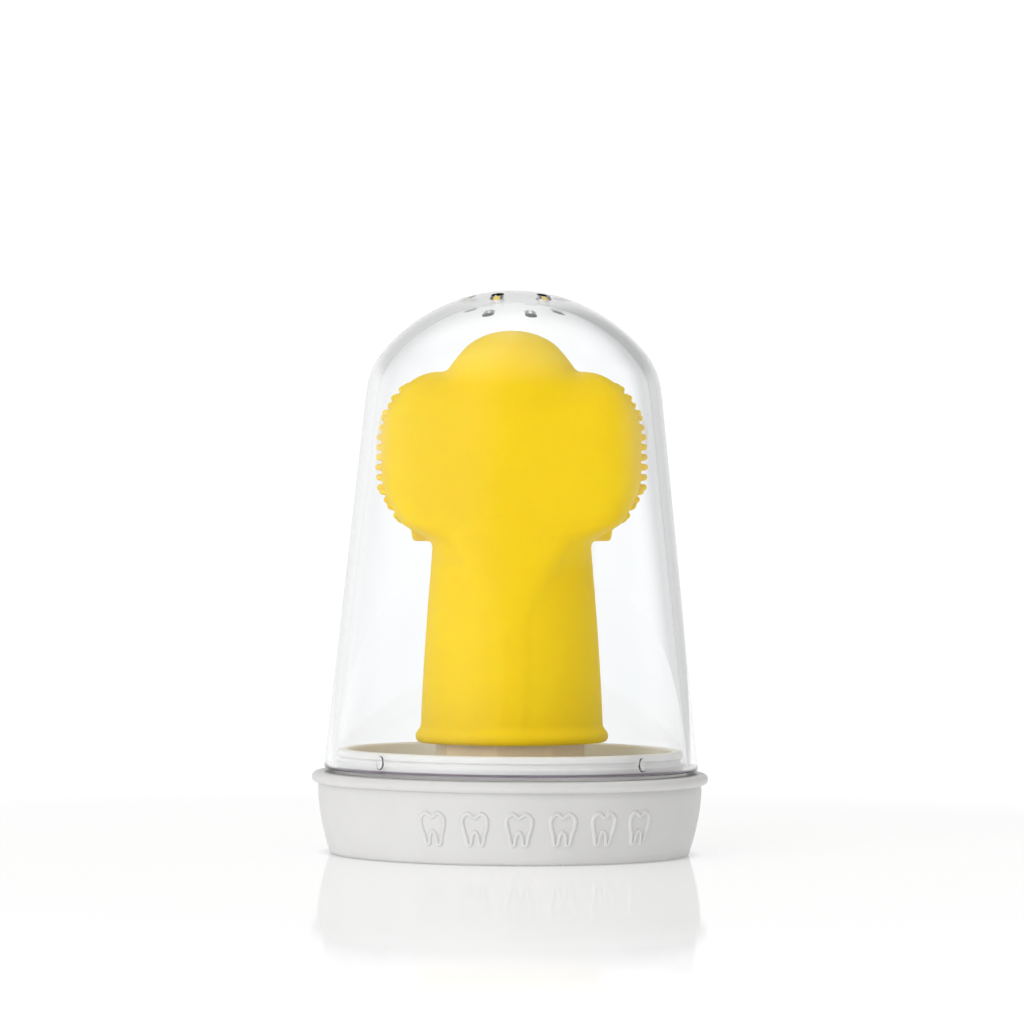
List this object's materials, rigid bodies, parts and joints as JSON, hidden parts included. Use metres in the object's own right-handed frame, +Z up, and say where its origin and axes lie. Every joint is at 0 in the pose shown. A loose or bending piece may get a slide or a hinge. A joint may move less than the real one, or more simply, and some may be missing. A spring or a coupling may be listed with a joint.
{
  "type": "finger toothbrush in storage case",
  "caption": "Silicone finger toothbrush with two bristle faces, standing on a drying post in a round case base under a clear vented cover that lifts off.",
  "frame": {"origin": "centre of the case base's underside, on the surface it stands on", "axes": "+Z up along the common axis of base, post, brush and cover; the bristle faces look along +X and -X; the front faces -Y"},
  "size_m": [0.0506, 0.0506, 0.072],
  "materials": {
    "case_plastic": "satin off-white moulded plastic",
    "post_plastic": "satin cream moulded plastic",
    "silicone": "soft matt yellow silicone",
    "clear_plastic": "clear polished plastic"
  },
  "bodies": {
    "base": {"case_base": "case_plastic", "drying_post": "post_plastic"},
    "brush": {"finger_brush": "silicone"},
    "cover": {"clear_cover": "clear_plastic"}
  },
  "joints": [
    {"name": "brush_lift", "type": "slide", "parent": "base", "child": "brush", "axis": [0, 0, 1], "range_m": [0, 0.03]},
    {"name": "cover_lift", "type": "slide", "parent": "brush", "child": "cover", "axis": [0, 0, 1], "range_m": [0, 0.06]}
  ]
}
